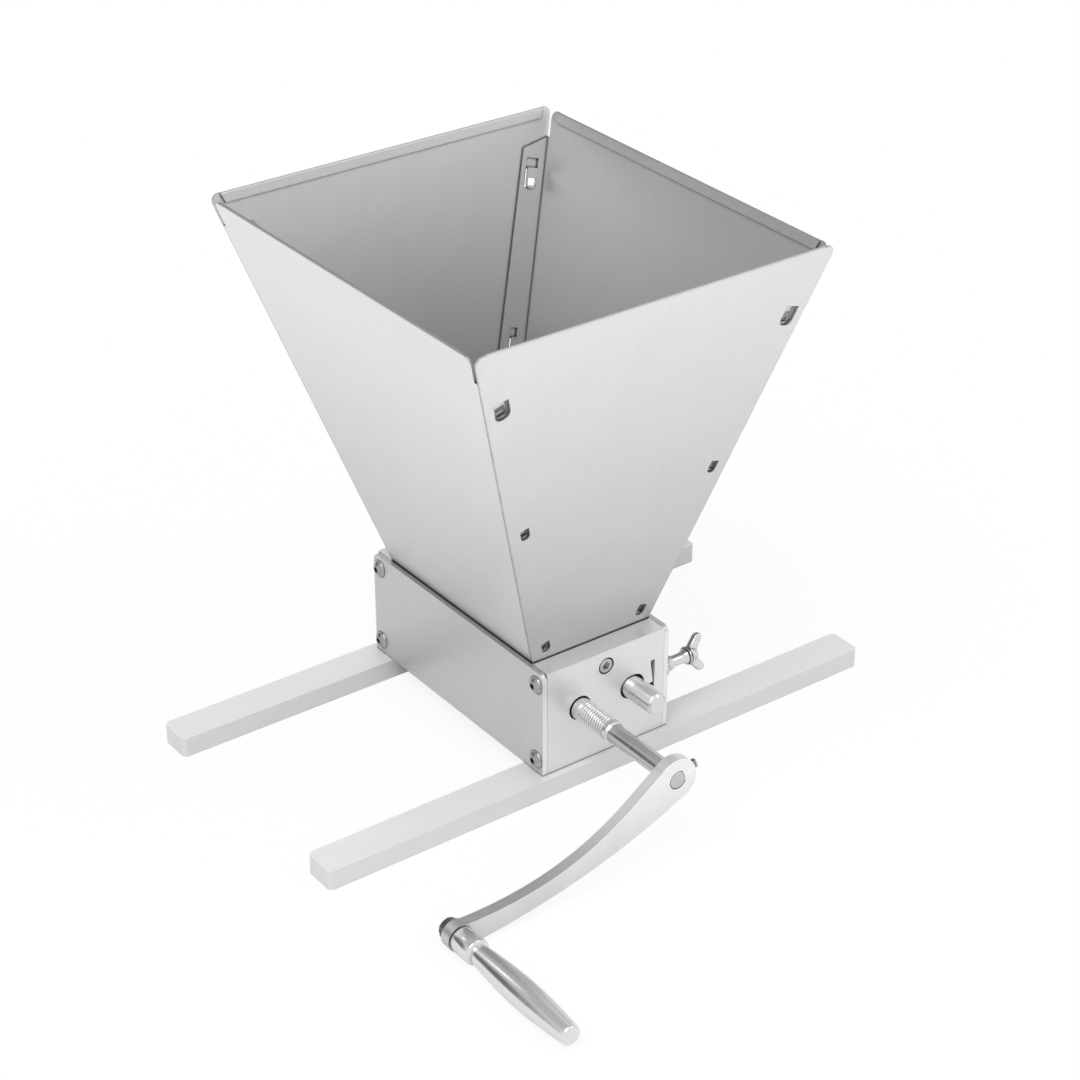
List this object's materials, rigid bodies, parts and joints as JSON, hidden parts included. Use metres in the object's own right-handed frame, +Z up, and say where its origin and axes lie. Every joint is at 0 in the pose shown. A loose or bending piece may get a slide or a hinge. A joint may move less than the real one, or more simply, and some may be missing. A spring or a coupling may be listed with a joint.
{
  "type": "hand cranked grain roller mill",
  "caption": "Grain roller mill with grooved rollers between end plates, a sheet metal hopper, wing screws that set the gap, and a hand crank; its long bars lie across a bucket.",
  "frame": {"origin": "on the table plane under the base bars, below the middle of the milling gap and halfway between the end plates", "axes": "+Z up; Y along the rollers with the crank at -Y; X along the base bars with the wing screws at +X"},
  "size_m": [0.34, 0.3545, 0.2793],
  "materials": {
    "plate_alloy": "milled, lightly brushed",
    "bar_alloy": "satin anodised",
    "screw_steel": "bright zinc",
    "hopper_sheet": "matt rolled sheet",
    "bearing_bronze": "sintered, oiled",
    "roller_steel": "turned and knurled",
    "wing_steel": "bright zinc",
    "crank_steel": "satin, cut from plate",
    "handle_steel": "turned and polished"
  },
  "bodies": {
    "mill": {"front_end_plate": "plate_alloy", "rear_end_plate": "plate_alloy", "left_side_plate": "plate_alloy", "right_side_plate": "plate_alloy", "left_plate_screws": "screw_steel", "right_plate_screws": "screw_steel", "front_base_bar": "bar_alloy", "rear_base_bar": "bar_alloy", "base_bar_screws": "screw_steel", "hopper_front_panel": "hopper_sheet", "hopper_rear_panel": "hopper_sheet", "hopper_left_panel": "hopper_sheet", "hopper_right_panel": "hopper_sheet", "hopper_screws": "screw_steel", "hopper_nuts": "screw_steel", "front_drive_bush": "bearing_bronze", "rear_drive_bush": "bearing_bronze", "front_screw_guide": "wing_steel", "rear_screw_guide": "wing_steel"},
    "drive": {"drive_roller": "roller_steel", "drive_thrust_washers": "bearing_bronze", "crank_arm": "crank_steel", "crank_set_screw": "screw_steel", "handle_pin": "handle_steel", "handle_nut": "handle_steel"},
    "grip": {"handle_grip": "handle_steel"},
    "front_block": {"front_bearing_block": "bearing_bronze"},
    "rear_block": {"rear_bearing_block": "bearing_bronze"},
    "adjustable": {"adjustable_roller": "roller_steel", "adjustable_thrust_washers": "bearing_bronze"},
    "front_screw": {"front_wing_screw": "wing_steel"},
    "rear_screw": {"rear_wing_screw": "wing_steel"}
  },
  "joints": [
    {"name": "crank_turn", "type": "hinge", "parent": "mill", "child": "drive", "pos_m": [-0.0165, 0, 0.0435], "axis": [0, 1, 0], "continuous": true},
    {"name": "grip_spin", "type": "hinge", "parent": "drive", "child": "grip", "pos_m": [-0.14505, -0.2, 0.0075], "axis": [0, 1, 0], "continuous": true},
    {"name": "front_block_slide", "type": "slide", "parent": "mill", "child": "front_block", "axis": [1, 0, 0], "range_m": [-0.0006, 0.0015]},
    {"name": "rear_block_slide", "type": "slide", "parent": "mill", "child": "rear_block", "axis": [1, 0, 0], "range_m": [-0.0006, 0.0015]},
    {"name": "adjustable_spin", "type": "hinge", "parent": "front_block", "child": "adjustable", "pos_m": [0.0165, 0, 0.0435], "axis": [0, 1, 0], "continuous": true},
    {"name": "front_wing_turn", "type": "hinge", "parent": "front_block", "child": "front_screw", "pos_m": [0.06, -0.06975, 0.0435], "axis": [1, 0, 0], "range_deg": [-216, 540]},
    {"name": "rear_wing_turn", "type": "hinge", "parent": "rear_block", "child": "rear_screw", "pos_m": [0.06, 0.06975, 0.0435], "axis": [1, 0, 0], "range_deg": [-216, 540]}
  ],
  "couplings": [
    {"joint": "front_wing_turn", "follows": "front_block_slide", "rad_per_m": 6283.2},
    {"joint": "rear_block_slide", "follows": "front_block_slide", "ratio": 1},
    {"joint": "rear_wing_turn", "follows": "front_block_slide", "rad_per_m": 6283.2}
  ]
}
